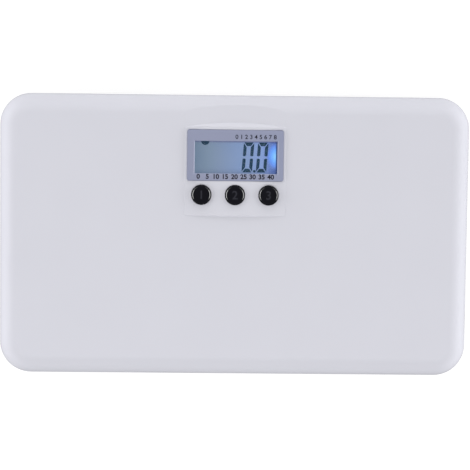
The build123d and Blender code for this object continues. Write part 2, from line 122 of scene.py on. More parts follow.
def piece(name, bm, material, body, slot, *replaced, sharp=32):
    """Makes a finished piece of a bmesh shaped in millimetres."""
    bmesh.ops.remove_doubles(bm, verts=bm.verts[:], dist=MERGE)
    bmesh.ops.recalc_face_normals(bm, faces=bm.faces[:])
    mark_sharp(bm, sharp)
    bmesh.ops.scale(bm, vec=(0.001, 0.001, 0.001), verts=bm.verts[:])
    mesh = bpy.data.meshes.new(name)
    bm.to_mesh(mesh)
    bm.free()
    for finish in material if isinstance(material, list) else [material]:
        mesh.materials.append(finish)
    made = bpy.data.objects.new(name, mesh)
    bpy.context.scene.collection.objects.link(made)
    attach(made, body)
    if replaced:
        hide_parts(*replaced)


def box(bm, low, high):
    """A block between two corners."""
    made = bmesh.ops.create_cube(bm, size=1.0)["verts"]
    size = [high[i] - low[i] for i in range(3)]
    centre = [(high[i] + low[i]) / 2 for i in range(3)]
    bmesh.ops.scale(bm, vec=size, verts=made)
    bmesh.ops.translate(bm, vec=centre, verts=made)
    return made


def plate(bm, length, width, radius, low, high, x=0.0, y=0.0, steps=6, draft=0.0):
    """A flat piece with rounded corners, standing between two heights."""
    start = bmesh.ops.create_grid(bm, x_segments=1, y_segments=1, size=0.5)["verts"]
    bmesh.ops.scale(bm, vec=(length, width, 1), verts=start)
    bmesh.ops.translate(bm, vec=(x, y, low), verts=start)
    face = start[0].link_faces[0]
    if radius:
        rounded = bmesh.ops.bevel(
            bm, geom=start, offset=radius, offset_type="OFFSET", segments=steps,
            profile=0.5, affect="VERTICES", material=-1,
        )
        face = rounded["verts"][0].link_faces[0]
    top = thickened(bm, [face], high - low)
    shrink = 2 * draft * (high - low)
    narrower = ((length - shrink) / length, (width - shrink) / width, 1)
    bmesh.ops.scale(bm, vec=narrower, verts=top, space=Matrix.Translation((-x, -y, 0)))


def turned(bm, profile, steps, x=0.0, y=0.0):
    """A round piece spun about an upright axis from its half profile, (radius, height)."""
    line = [bm.verts.new((r, 0, z)) for r, z in profile]
    edges = [bm.edges.new(pair) for pair in zip(line, line[1:])]
    before = set(bm.verts) - set(line)
    bmesh.ops.spin(
        bm, geom=line + edges, cent=(0, 0, 0), axis=(0, 0, 1),
        angle=math.tau, steps=steps, use_merge=True,
    )
    made = [v for v in bm.verts if v not in before]
    bmesh.ops.remove_doubles(bm, verts=made, dist=MERGE)
    made = [v for v in bm.verts if v not in before]
    bmesh.ops.translate(bm, vec=(x, y, 0), verts=made)


def bevel_edges(bm, edges, width, steps):
    """Rounds some edges over."""
    bmesh.ops.bevel(
        bm, geom=edges, offset=width, offset_type="OFFSET", segments=steps,
        profile=0.5, affect="EDGES", material=-1,
    )


def edges_at(bm, z):
    """The edges that lie at one height."""
    return [e for e in bm.edges if all(abs(v.co.z - z) < 0.01 for v in e.verts)]


def thickened(bm, faces, height):
    """Raises flat faces into a solid."""
    raised = bmesh.ops.extrude_face_region(bm, geom=faces)["geom"]
    top = [v for v in raised if isinstance(v, bmesh.types.BMVert)]
    bmesh.ops.translate(bm, vec=(0, 0, height), verts=top)
    return top


def joined(bm, other):
    """Adds another bmesh to a bmesh."""
    mesh = bpy.data.meshes.new("joined")
    other.to_mesh(mesh)
    other.free()
    bm.from_mesh(mesh)
    bpy.data.meshes.remove(mesh)


def carved(bm, *cutters):
    """A bmesh less some closed cutters, each a bmesh of its own."""
    def held(shape, name):
        bmesh.ops.recalc_face_normals(shape, faces=shape.faces[:])
        mesh = bpy.data.meshes.new(name)
        shape.to_mesh(mesh)
        shape.free()
        thing = bpy.data.objects.new(name, mesh)
        bpy.context.scene.collection.objects.link(thing)
        return thing

    body = held(bm, "blank")
    tools = [held(cutter, "cutter") for cutter in cutters]
    for tool in tools:
        cut = body.modifiers.new("cut", "BOOLEAN")
        cut.operation, cut.solver, cut.object = "DIFFERENCE", "EXACT", tool
    seen = body.evaluated_get(bpy.context.evaluated_depsgraph_get())
    result = bmesh.new()
    result.from_mesh(seen.to_mesh())
    for thing in [body, *tools]:
        mesh = thing.data
        bpy.data.objects.remove(thing)
        bpy.data.meshes.remove(mesh)
    return result


def ramp(t):
    """Nought to one, with soft ends."""
    t = min(max(t, 0.0), 1.0)
    return 0.75 * t + 0.25 * t * t * (3 - 2 * t)


# ---------------------------------------------------------------- material helpers


def recipe(name):
    """A new material, its node tree and its shader."""
    material = bpy.data.materials.new(name)
    material.use_nodes = True
    tree = material.node_tree
    return material, tree, tree.nodes["Principled BSDF"]


def noise(tree, scale, detail=2.0, stretch=None):
    """Noise over the piece; the scale is in patches per metre."""
    place = tree.nodes.new("ShaderNodeTexCoord").outputs["Object"]
    if stretch:
        turn = tree.nodes.new("ShaderNodeMapping")
        turn.inputs["Scale"].default_value = stretch
        tree.links.new(place, turn.inputs["Vector"])
        place = turn.outputs["Vector"]
    made = tree.nodes.new("ShaderNodeTexNoise")
    made.inputs["Scale"].default_value = scale
    made.inputs["Detail"].default_value = detail
    tree.links.new(place, made.inputs["Vector"])
    return made.outputs["Fac"]


def colour_stops(tree, value, stops):
    """Turns a value into a colour along several stops."""
    sweep = tree.nodes.new("ShaderNodeValToRGB")
    elements = sweep.color_ramp.elements
    for element, (spot, colour) in zip(elements, (stops[0], stops[-1])):
        element.position, element.color = spot, (*colour, 1)
    for spot, colour in stops[1:-1]:
        elements.new(spot).color = (*colour, 1)
    tree.links.new(value, sweep.inputs["Fac"])
    return sweep.outputs["Color"]


def tint(tree, value, low, high):
    """Turns the middle range of a noise into a colour between two."""
    return colour_stops(tree, value, [(0.3, low), (0.7, high)])


def spread(tree, value, low, high, start=0.3, end=0.7):
    """Turns a value into a number between two."""
    made = tree.nodes.new("ShaderNodeMapRange")
    made.inputs["From Min"].default_value = start
    made.inputs["From Max"].default_value = end
    made.inputs["To Min"].default_value = low
    made.inputs["To Max"].default_value = high
    tree.links.new(value, made.inputs["Value"])
    return made.outputs["Result"]


def bump(tree, value, depth):
    """Raises the surface by a pattern; the depth is in metres."""
    made = tree.nodes.new("ShaderNodeBump")
    made.inputs["Distance"].default_value = depth
    tree.links.new(value, made.inputs["Height"])
    return made.outputs["Normal"]


def laid_over(tree, under, over, share):
    """One colour laid over another by a share."""
    mix = tree.nodes.new("ShaderNodeMix")
    mix.data_type = "RGBA"
    tree.links.new(share, mix.inputs["Factor"])
    tree.links.new(under, mix.inputs["A"])
    if isinstance(over, tuple):
        mix.inputs["B"].default_value = (*over, 1)
    else:
        tree.links.new(over, mix.inputs["B"])
    return mix.outputs["Result"]


def moulded(name, colour, roughness, grain, depth, variation=0.03, specular=0.5, outline_shade_tint=None):
    """Moulded plastic or rubber: a faint drift of tone, a fine grain, and at choice a
    grey-tinted clear coat that paints shade where the surface is seen at a grazing angle,
    darkening its outline."""
    material, tree, shader = recipe(name)
    drift = noise(tree, 28, 3)
    low = [c * (1 - variation) for c in colour]
    high = [min(c * (1 + variation), 1) for c in colour]
    tree.links.new(tint(tree, drift, low, high), shader.inputs["Base Color"])
    fine = noise(tree, grain, 4)
    uneven = spread(tree, fine, roughness * 0.9, roughness * 1.1)
    tree.links.new(uneven, shader.inputs["Roughness"])
    tree.links.new(bump(tree, fine, depth), shader.inputs["Normal"])
    shader.inputs["Specular IOR Level"].default_value = specular
    # a grey tint in a near-invisible clear coat: painted shade that darkens the surface where
    # it is seen at a grazing angle
    if outline_shade_tint:
        shader.inputs["Coat Weight"].default_value = 1.0
        shader.inputs["Coat Roughness"].default_value = 0.3
        shader.inputs["Coat IOR"].default_value = 1.01
        shader.inputs["Coat Tint"].default_value = (outline_shade_tint, outline_shade_tint, outline_shade_tint, 1)
    return material


def plated(name, colour, roughness, stretch=(1, 1, 1), depth=0.000004):
    """Plated metal, with fine drawing marks and a little uneven shine."""
    material, tree, shader = recipe(name)
    shader.inputs["Metallic"].default_value = 1.0
    marks = noise(tree, 900, 5, stretch)
    haze = noise(tree, 120, 3)
    low = [c * 0.86 for c in colour]
    tree.links.new(tint(tree, haze, low, colour), shader.inputs["Base Color"])
    uneven = spread(tree, marks, roughness * 0.7, roughness * 1.4)
    tree.links.new(uneven, shader.inputs["Roughness"])
    tree.links.new(bump(tree, marks, depth), shader.inputs["Normal"])
    return material


# ---------------------------------------------------------------- camera, light and floor


def set_camera():
    """A camera high over the scale, leaning slightly."""
    data = bpy.data.cameras.new("overhead")
    data.sensor_width, data.lens = 36.0, 106.5
    data.clip_start, data.clip_end = 0.05, 20.0
    camera = bpy.data.objects.new("overhead", data)
    turn = Matrix.Rotation(-0.06501, 4, "X") @ Matrix.Rotation(-0.02019, 4, "Y")
    turn = turn @ Matrix.Rotation(0.01046, 4, "Z")
    camera.matrix_world = Matrix.Translation((-0.0192, 0.06395, 1.0)) @ turn
    bpy.context.scene.collection.objects.link(camera)
    bpy.context.scene.camera = camera


def lamp(name, turn, height, level, mirrored):
    """A soft lamp aimed at the middle of the scale, from a turn and a height in degrees."""
    away = 1.5
    turn, height = math.radians(turn), math.radians(height)
    flat = math.cos(height)
    ray = Vector((math.cos(turn) * flat, math.sin(turn) * flat, math.sin(height)))
    data = bpy.data.lights.new(name, "AREA")
    data.shape, data.size, data.size_y = "RECTANGLE", 2.0, 0.5
    data.energy = level * (math.pi * away) ** 2
    made = bpy.data.objects.new(name, data)
    made.location = ray * away
    made.rotation_euler = ray.to_track_quat("Z", "Y").to_euler()
    made.visible_camera = False
    made.visible_glossy = mirrored
    bpy.context.scene.collection.objects.link(made)


def set_light():
    """A plain pale room with soft lamps low at both sides, and weaker ones back and front."""
    world = bpy.data.worlds.new("studio")
    bpy.context.scene.world = world
    world.use_nodes = True
    tree = world.node_tree
    path = tree.nodes.new("ShaderNodeLightPath")
    background = tree.nodes["Background"]
    background.inputs["Color"].default_value = (1, 1, 1, 1)
    seen = path.outputs["Is Camera Ray"]
    for kind in ("Is Glossy Ray", "Is Transmission Ray"):
        either = tree.nodes.new("ShaderNodeMath")
        either.operation = "MAXIMUM"
        tree.links.new(seen, either.inputs[0])
        tree.links.new(path.outputs[kind], either.inputs[1])
        seen = either.outputs["Value"]
    level = tree.nodes.new("ShaderNodeMapRange")
    level.inputs["To Min"].default_value = 0.4
    level.inputs["To Max"].default_value = 1.0
    tree.links.new(seen, level.inputs["Value"])
    tree.links.new(level.outputs["Result"], background.inputs["Strength"])
    lamp("lamp_left", 180, 15, 0.78, True)
    lamp("lamp_right", 0, 12, 0.88, True)
    lamp("lamp_back", 90, 12, 0.68, False)
    lamp("lamp_front", 270, 46, 0.46, False)


def set_floor():
    """A wide pale floor. It keeps the scale's shadow, and is clear from below."""
    bm = bmesh.new()
    bmesh.ops.create_grid(bm, x_segments=1, y_segments=1, size=6.0)
    mesh = bpy.data.meshes.new("floor")
    bm.to_mesh(mesh)
    bm.free()
    floor = bpy.data.objects.new("floor", mesh)
    bpy.context.scene.collection.objects.link(floor)

    material = bpy.data.materials.new("pale_floor")
    material.use_nodes = True
    tree = material.node_tree
    tree.nodes.remove(tree.nodes["Principled BSDF"])
    output = tree.nodes["Material Output"]
    pale = tree.nodes.new("ShaderNodeBsdfDiffuse")
    pale.inputs["Color"].default_value = (0.35, 0.35, 0.35, 1)
    path = tree.nodes.new("ShaderNodeLightPath")
    lift = tree.nodes.new("ShaderNodeEmission")
    level = tree.nodes.new("ShaderNodeMapRange")
    level.inputs["To Min"].default_value = 0.0
    level.inputs["To Max"].default_value = 0.75
    tree.links.new(path.outputs["Is Camera Ray"], level.inputs["Value"])
    tree.links.new(level.outputs["Result"], lift.inputs["Strength"])
    lit = tree.nodes.new("ShaderNodeAddShader")
    tree.links.new(pale.outputs[0], lit.inputs[0])
    tree.links.new(lift.outputs[0], lit.inputs[1])
    clear = tree.nodes.new("ShaderNodeBsdfTransparent")
    geometry = tree.nodes.new("ShaderNodeNewGeometry")
    front = tree.nodes.new("ShaderNodeMath")
    front.operation = "SUBTRACT"
    front.use_clamp = True
    tree.links.new(path.outputs["Is Camera Ray"], front.inputs[0])
    tree.links.new(geometry.outputs["Backfacing"], front.inputs[1])
    choice = tree.nodes.new("ShaderNodeMixShader")
    tree.links.new(front.outputs[0], choice.inputs["Fac"])
    tree.links.new(clear.outputs[0], choice.inputs[1])
    tree.links.new(lit.outputs[0], choice.inputs[2])
    tree.links.new(choice.outputs[0], output.inputs["Surface"])
    mesh.materials.append(material)


set_camera()
set_light()
set_floor()

# ---------------------------------------------------------------- finishes

# name, colour, roughness, grain in patches per metre, its depth in metres, drift, specular
# the shell's grey coat tint paints shade along its outline
gloss_white = moulded(
    "gloss_white_shell", (0.693, 0.694, 0.757), 0.62, 420, 0.000006, 0.006, 0.12, outline_shade_tint=0.93
)
satin_white = moulded("satin_white_tray", (0.62, 0.625, 0.65), 0.5, 1500, 0.00002, 0.015)
bezel_grey = moulded("lavender_grey_bezel", (0.265, 0.285, 0.4), 0.38, 2200, 0.000006, 0.015)
button_black = moulded("gloss_black_cap", (0.004, 0.004, 0.007), 0.2, 700, 0.000001, 0.1, 0.07)
button_edge = moulded("smooth_black_bead", (0.004, 0.004, 0.006), 0.15, 700, 0.000001, 0.1, 0.4)
button_bead = moulded(
    "polished_black_bead", (0.004, 0.004, 0.006), 0.1, 700, 0.000001, 0.1, 0.9
)
print_dark = moulded("dark_print", (0.006, 0.006, 0.012), 0.5, 3000, 0.000002, 0.1, 0.15)
print_grey = moulded("grey_print", (0.026, 0.026, 0.034), 0.5, 3000, 0.000002, 0.1, 0.1)
foot_grey = moulded("foot_plastic", (0.55, 0.56, 0.58), 0.5, 1500, 0.00002)
pad_black = moulded("pad_rubber", (0.045, 0.045, 0.05), 0.8, 1100, 0.00006, 0.12, 0.3)
cell_steel = plated("cell_stamping", (0.62, 0.63, 0.65), 0.3, (1, 8, 8))
gauge_resin = moulded("gauge_resin", (0.78, 0.78, 0.75), 0.45, 400, 0.00008, 0.05)
screw_zinc = plated("zinc_screw", (0.64, 0.64, 0.67), 0.28)
contact_nickel = plated("nickel_contact", (0.7, 0.69, 0.65), 0.24)
battery_sleeve = moulded("battery_sleeve", (0.03, 0.034, 0.042), 0.3, 900, 0.000006, 0.05)
battery_band = moulded("copper_band", (0.45, 0.21, 0.09), 0.3, 900, 0.000006, 0.05)
battery_steel = plated("battery_end", (0.66, 0.66, 0.66), 0.25)
chip_epoxy = moulded("chip_epoxy", (0.018, 0.018, 0.02), 0.55, 2600, 0.00002, 0.1)
plug_nylon = moulded("plug_nylon", (0.7, 0.68, 0.61), 0.45, 900, 0.00001, 0.04)
switch_moulding = moulded("switch_moulding", (0.025, 0.025, 0.027), 0.45, 1800, 0.00001, 0.1)
plunger_white = moulded("plunger_white", (0.68, 0.68, 0.66), 0.4, 1500, 0.00001, 0.03)
wire_red = moulded("wire_red", (0.42, 0.03, 0.025), 0.42, 900, 0.000008, 0.06)
wire_black = moulded("wire_black", (0.02, 0.02, 0.022), 0.42, 900, 0.000008, 0.1)
wire_ribbon = moulded("wire_ribbon", (0.32, 0.33, 0.36), 0.42, 900, 0.000008, 0.06)
zebra_rubber = moulded("zebra_rubber", (0.28, 0.2, 0.22), 0.6, 900, 0.00001, 0.1)
guide_acrylic = moulded("guide_acrylic", (0.8, 0.85, 0.95), 0.15, 300, 0.000004, 0.02)
lamp_body = moulded("lamp_body", (0.75, 0.79, 0.86), 0.3, 900, 0.00001, 0.02)
holder_white = moulded("holder_white", (0.7, 0.7, 0.7), 0.45, 1500, 0.00001, 0.03)


def solder_mask():
    """Green solder mask with the lighter lines of the tracks under it."""
    material, tree, shader = recipe("solder_mask")
    place = tree.nodes.new("ShaderNodeTexCoord").outputs["Object"]
    cells = tree.nodes.new("ShaderNodeTexVoronoi")
    cells.feature, cells.distance = "F1", "MANHATTAN"
    cells.inputs["Scale"].default_value = 190
    cells.inputs["Randomness"].default_value = 0.75
    tree.links.new(place, cells.inputs["Vector"])
    tracks = spread(tree, cells.outputs["Distance"], 0.0, 1.0, 0.42, 0.5)
    green = tint(tree, tracks, (0.012, 0.1, 0.045), (0.022, 0.17, 0.075))
    tree.links.new(green, shader.inputs["Base Color"])
    tree.links.new(spread(tree, noise(tree, 500, 3), 0.26, 0.38), shader.inputs["Roughness"])
    tree.links.new(bump(tree, tracks, 0.00003), shader.inputs["Normal"])
    return material


def window_clear():
    """Clear acrylic with the faintest drift in its polish."""
    material, tree, shader = recipe("clear_window")
    smear = noise(tree, 60, 3)
    tree.links.new(tint(tree, smear, (0.97, 0.98, 1.0), (1, 1, 1)), shader.inputs["Base Color"])
    tree.links.new(spread(tree, smear, 0.0, 0.02), shader.inputs["Roughness"])
    shader.inputs["Transmission Weight"].default_value = 1.0
    shader.inputs["IOR"].default_value = 1.1
    return material


# colours along the cell, and of the glow from its rim to its middle
CELL_SWEEP = [
    (0.0, (0.14, 0.2, 0.275)), (0.05, (0.15, 0.213, 0.293)), (0.16, (0.173, 0.241, 0.325)),
    (0.29, (0.189, 0.255, 0.371)), (0.42, (0.194, 0.27, 0.425)), (0.52, (0.194, 0.278, 0.46)),
    (0.64, (0.204, 0.29, 0.49)), (0.82, (0.205, 0.3, 0.57)), (0.89, (0.14, 0.22, 0.5)),
    (0.96, (0.06, 0.12, 0.39)), (1.0, (0.04, 0.07, 0.25)),
]
GLOW_SWEEP = [
    (0.0, (0.17, 0.27, 0.62)), (0.3, (0.12, 0.26, 0.78)), (0.6, (0.15, 0.4, 0.95)),
    (1.0, (0.26, 0.62, 1.0)),
]
GLOW_PLACE, GLOW_REACH = (28.0, 56.0, 30.0), (6.5, 10.0, 6.0)     # in mm
# painted shadow that the bezel's window edge casts on the cell's back and right edges, and a
# darker band along its front edge
CELL_SHADE_BANDS = [                        # axis, strength, from where to where, colour
    ("Y", 0.9, (0.0648, 0.0662), (0.1, 0.105, 0.21)),
    ("Y", 0.45, (0.0475, 0.0435), (0.1, 0.13, 0.22)),
    ("X", 1.0, (0.0280, 0.0287), (0.018, 0.04, 0.14)),
]


def lit_cell():
    """The lit cell: grey green to blue along it, a lamp's glow at its right end, painted shadow
    along its back and right edges where the bezel's window edge shades it, and a darker band
    along its front edge."""
    material, tree, shader = recipe("lit_cell")
    place = tree.nodes.new("ShaderNodeTexCoord").outputs["Object"]
    parts = tree.nodes.new("ShaderNodeSeparateXYZ")
    tree.links.new(place, parts.inputs[0])
    ends = [(APERTURE_X + hand * APERTURE_LENGTH / 2) / 1000 for hand in (-1, 1)]
    along = spread(tree, parts.outputs["X"], 0.0, 1.0, *ends)
    colour = colour_stops(tree, along, CELL_SWEEP)
    oval = tree.nodes.new("ShaderNodeMapping")
    for i, (middle, reach) in enumerate(zip(GLOW_PLACE, GLOW_REACH)):
        oval.inputs["Scale"].default_value[i] = 1000 / reach
        oval.inputs["Location"].default_value[i] = -middle / reach
    tree.links.new(place, oval.inputs["Vector"])
    ball = tree.nodes.new("ShaderNodeTexGradient")
    ball.gradient_type = "SPHERICAL"
    tree.links.new(oval.outputs["Vector"], ball.inputs["Vector"])
    near = ball.outputs["Fac"]
    glow = colour_stops(tree, near, GLOW_SWEEP)
    colour = laid_over(tree, colour, glow, spread(tree, near, 0.0, 1.0, 0.02, 0.3))
    # paints the shadow along the cell's back and right edges, and the darker band along its
    # front
    for axis, share, shaded_span, shade in CELL_SHADE_BANDS:
        edge = spread(tree, parts.outputs[axis], 0.0, share, *shaded_span)
        colour = laid_over(tree, colour, shade, edge)
    tree.links.new(colour, shader.inputs["Emission Color"])
    shader.inputs["Emission Strength"].default_value = 1.0
    shader.inputs["Base Color"].default_value = (0.02, 0.025, 0.04, 1)
    shader.inputs["Specular IOR Level"].default_value = 0.1
    tree.links.new(spread(tree, noise(tree, 900, 2), 0.25, 0.35), shader.inputs["Roughness"])
    return material


def cell_ink():
    """The dark blue green of the cell's segments, which let a little of the light through."""
    material, tree, shader = recipe("cell_segment")
    cloud = noise(tree, 700, 3)
    shade = tint(tree, cloud, (0.006, 0.022, 0.045), (0.012, 0.036, 0.068))
    tree.links.new(shade, shader.inputs["Emission Color"])
    shader.inputs["Emission Strength"].default_value = 1.0
    shader.inputs["Base Color"].default_value = (0.01, 0.02, 0.03, 1)
    shader.inputs["Specular IOR Level"].default_value = 0.1
    tree.links.new(spread(tree, cloud, 0.3, 0.4), shader.inputs["Roughness"])
    return material


board_mask = solder_mask()
lens_clear = window_clear()
lit_glass = lit_cell()
segment_ink = cell_ink()


# ---------------------------------------------------------------- the moulded cover


def shell_blank():
    """The outside of the shell: drafted skirt and rounded top edge."""
    bm = bmesh.new()
    size = PLATFORM_LENGTH, PLATFORM_WIDTH
    plate(bm, *size, CORNER_RADIUS, SKIRT_Z, DECK_Z, steps=14, draft=DRAFT)
    bevel_edges(bm, edges_at(bm, DECK_Z), EDGE_RUN, 20)
    return bm


def trough_floor(x):
    """The height of the deck across the trough behind the field."""
    return DECK_Z - TROUGH_DEPTH * max(0.0, 1 - (x / TROUGH_HALF) ** 2)


def edge_height(y):
    """The height of the rounded back edge at a place."""
    run = max(0.0, y - EDGE_Y)
    return DECK_Z - EDGE_RADIUS + math.sqrt(EDGE_RADIUS ** 2 - run ** 2)


def trough_end(x):
    """Where the floor of the trough meets the rounded back edge."""
    rise = EDGE_RADIUS - DECK_Z + trough_floor(x)
    return EDGE_Y + math.sqrt(EDGE_RADIUS ** 2 - rise ** 2)


def crown(x):
    """The height of the field's top, which falls away to its sides."""
    return FIELD_Z - FIELD_FALL * (x / FIELD_HALF) ** 2


def row_place(x, row):
    """Where a straight row of the deck goes, so that rows follow the field's curved edges."""
    if abs(x) >= FIELD_HALF:
        return row
    stops = [
        (CONTROLS_FRONT, CONTROLS_FRONT),
        (FIELD_FRONT - FRONT_RUN, FIELD_FRONT - FRONT_RUN * (crown(x) - DECK_Z)),
        (FIELD_FRONT, FIELD_FRONT),
        (FIELD_BACK, FIELD_BACK),
        (FIELD_BACK + BACK_RUN, FIELD_BACK + BACK_RUN * (crown(x) - trough_floor(x))),
        (EDGE_Y, trough_end(x)),
        (CONTROLS_BACK, CONTROLS_BACK),
    ]
    for (a, start), (b, end) in zip(stops, stops[1:]):
        if row <= b:
            return start + (end - start) * (row - a) / (b - a)
    return row


def field_height(x, row):
    """The height of the deck and its raised field, up to the rounded edge."""
    low = trough_floor(x) if row > FIELD_BACK else DECK_Z
    front = ramp(1 - (FIELD_FRONT - row) / FRONT_RUN)
    back = ramp(1 - (row - FIELD_BACK) / BACK_RUN)
    side = ramp((FIELD_HALF - abs(x)) / 0.1)
    return low + (crown(x) - low) * min(front, back) * side


def cut_rows(bm, axis, places, chosen):
    """Cuts chosen faces straight across at several places along an axis."""
    normal = (1, 0, 0) if axis == 0 else (0, 1, 0)
    for place in places:
        point = (place, 0, 0) if axis == 0 else (0, place, 0)
        faces = [f for f in bm.faces if chosen(f)]
        around = {e for f in faces for e in f.edges}
        corners = {v for f in faces for v in f.verts}
        chosen_parts = [*faces, *around, *corners]
        bmesh.ops.bisect_plane(
            bm, geom=chosen_parts, plane_co=point, plane_no=normal, dist=0.0001
        )


def spaced(start, end, step):
    """Evenly spaced places from start up to end."""
    count = max(1, round((end - start) / step))
    return [start + (end - start) * i / count for i in range(count)]


def cover_cutters():
    """What the cover is hollowed and pierced by."""
    cavity, recess, opening, holes = [bmesh.new() for _ in range(4)]
    size = PLATFORM_LENGTH - 2 * COVER_WALL, PLATFORM_WIDTH - 2 * COVER_WALL
    radius = CORNER_RADIUS - COVER_WALL
    plate(cavity, *size, radius, SKIRT_Z - 1, UNDER_DECK_Z, steps=10, draft=DRAFT)
    bevel_edges(cavity, edges_at(cavity, UNDER_DECK_Z), 0.6 * EDGE_RADIUS, 1)
    size = BEZEL_LENGTH + ROOM, BEZEL_WIDTH + ROOM
    plate(recess, *size, 1.8, BEZEL_FLOOR_Z, FIELD_Z + 1, 0, BEZEL_Y)
    size = LENS_LENGTH + ROOM, LENS_WIDTH + ROOM
    plate(opening, *size, 0, UNDER_DECK_Z - 1, FIELD_Z, 0, LENS_Y)
    hole, low, high = BUTTON_RADIUS + BUTTON_GAP, UNDER_DECK_Z - 1, FIELD_Z + 1
    for x in BUTTONS.values():
        turned(holes, [(0, low), (hole, low), (hole, high), (0, high)], 72, x, BUTTON_Y)
    return cavity, recess, opening, holes


def cover_shell():
    """The moulded cover: roll-off, raised field, trough and the openings for the controls."""
    bm = shell_blank()
    top = [f for f in bm.faces if f.calc_center_median().z > DECK_Z - 0.001]
    bmesh.ops.inset_region(bm, faces=top, thickness=0.8, use_even_offset=True)

    def back_part(face):
        c = face.calc_center_median()
        return c.z > ROLL_OFF_Z and c.y > CONTROLS_FRONT and face.normal.z > 0.3

    def near_controls(face):
        return back_part(face) and abs(face.calc_center_median().x) < CONTROLS_HALF

    cut_rows(bm, 1, [CONTROLS_FRONT], lambda f: f.calc_area() > 10000 and f.normal.z > 0.9)
    cut_rows(bm, 0, [-CONTROLS_HALF, CONTROLS_HALF], back_part)
    half = [
        *spaced(0, FIELD_HALF - 0.5, 2.3), FIELD_HALF - 0.5, FIELD_HALF - 0.1,
        FIELD_HALF - 0.05, FIELD_HALF, FIELD_HALF + 0.1, FIELD_HALF + 0.5, 38.0, 42.0, 46.0,
    ]
    cut_rows(bm, 0, sorted({-x for x in half} | set(half)), near_controls)
    foot = FIELD_BACK + BACK_RUN
    rows = [
        6.0, 8.0, 9.8, 10.8, *spaced(FIELD_FRONT - FRONT_RUN, FIELD_FRONT, 0.18), FIELD_FRONT,
        FIELD_FRONT + 0.3, FIELD_FRONT + 1.0, 17.0, *spaced(20, 72, 6.5), 72.0, 74.5,
        FIELD_BACK - 0.4, FIELD_BACK - 0.1, *spaced(FIELD_BACK, foot, 0.13), foot, foot + 0.12,
        foot + 0.5, *spaced(foot + 1.4, EDGE_Y - 0.5, 1.2), EDGE_Y - 0.5, EDGE_Y + 0.3,
    ]
    cut_rows(bm, 1, rows, near_controls)
    for vert in bm.verts:
        x, row, z = vert.co
        if abs(x) < CONTROLS_HALF + 0.01 and row > CONTROLS_FRONT - 0.01 and z > ROLL_OFF_Z:
            vert.co.y = row_place(x, row)
            if row <= EDGE_Y + 0.001:
                vert.co.z = field_height(x, row)
            else:
                vert.co.z = z + edge_height(vert.co.y) - edge_height(row)
    bm = carved(bm, *cover_cutters())
    piece(
        "moulded_cover", bm, gloss_white, "housing", "white_gloss", "platform_cover", sharp=28
    )


def load_collar(bm, x_side, y_side):
    """The square collar that presses on a cell's retainer, notched for the cell's lead."""
    x, y, low, half = x_side * CELL_X, y_side * CELL_Y, RETAINER_TOP_Z, COLLAR_HALF
    for hand in (-1, 1):
        middle = y + hand * half
        box(bm, (x - half - 1, middle - 1, low), (x + half + 1, middle + 1, ROOT_Z))
    outer, inner = x + x_side * half, x - x_side * half
    box(bm, (outer - 1, y - half, low), (outer + 1, y + half, ROOT_Z))
    box(bm, (inner - 1, y - half, low + 4), (inner + 1, y + half, ROOT_Z))
    for start, end in ((y - half, y - 4), (y + 4, y + half)):
        box(bm, (inner - 1, start, low), (inner + 1, end, low + 4.2))


def board_hook(bm, side, y):
    """A snap hook that holds the circuit board up, and its stop."""
    edge = side * 46.2
    for middle, half_x, half_y, low, high in (
        (edge + side * 0.8, 0.8, 2.5, BOARD_Z - 1.4, ROOT_Z),
        (edge + side * 0.3, 1.3, 2.5, BOARD_Z - 1.4, BOARD_Z),
        (edge - side * 1.5, 1.5, 1.5, BOARD_Z + 1.6, ROOT_Z),
    ):
        box(bm, (middle - half_x, y - half_y, low), (middle + half_x, y + half_y, high))


def cover_ribs():
    """What is moulded under the deck: ribs, collars, hooks, screw posts and tongues."""
    bm = bmesh.new()
    for y in (-64, -20):
        box(bm, (-110, y - 0.9, RIB_Z), (110, y + 0.9, ROOT_Z))
    reach, root_reach = 94.6, 87.6
    for x in (-60, 60):
        rib = box(bm, (x - 0.9, -reach, RIB_Z), (x + 0.9, reach, ROOT_Z))
        for vert in rib:
            if vert.co.z > RIB_Z + 1:
                vert.co.y *= root_reach / reach
    for sides in CORNERS.values():
        load_collar(bm, *sides)
    for side in (-1, 1):
        for y in (18, 72):
            board_hook(bm, side, y)
        x, y = side * SCREW_X, 4.4 - PLATFORM_WIDTH / 2
        box(bm, (x - 6, y - 2, 13.6), (x + 6, y + 2, 15.2))
        post, pilot = bmesh.new(), bmesh.new()
        box(post, (x - 4, SCREW_Y - 4, TOWER_Z), (x + 4, SCREW_Y + 4, ROOT_Z))
        hole = [(0, TOWER_Z - 1), (1.3, TOWER_Z - 1), (1.3, RIB_Z), (0, RIB_Z)]
        turned(pilot, hole, 24, x, SCREW_Y)
        joined(bm, carved(post, pilot))
    piece("cover_ribs", bm, gloss_white, "housing", "white_gloss")


cover_shell()
cover_ribs()


# ---------------------------------------------------------------- buttons


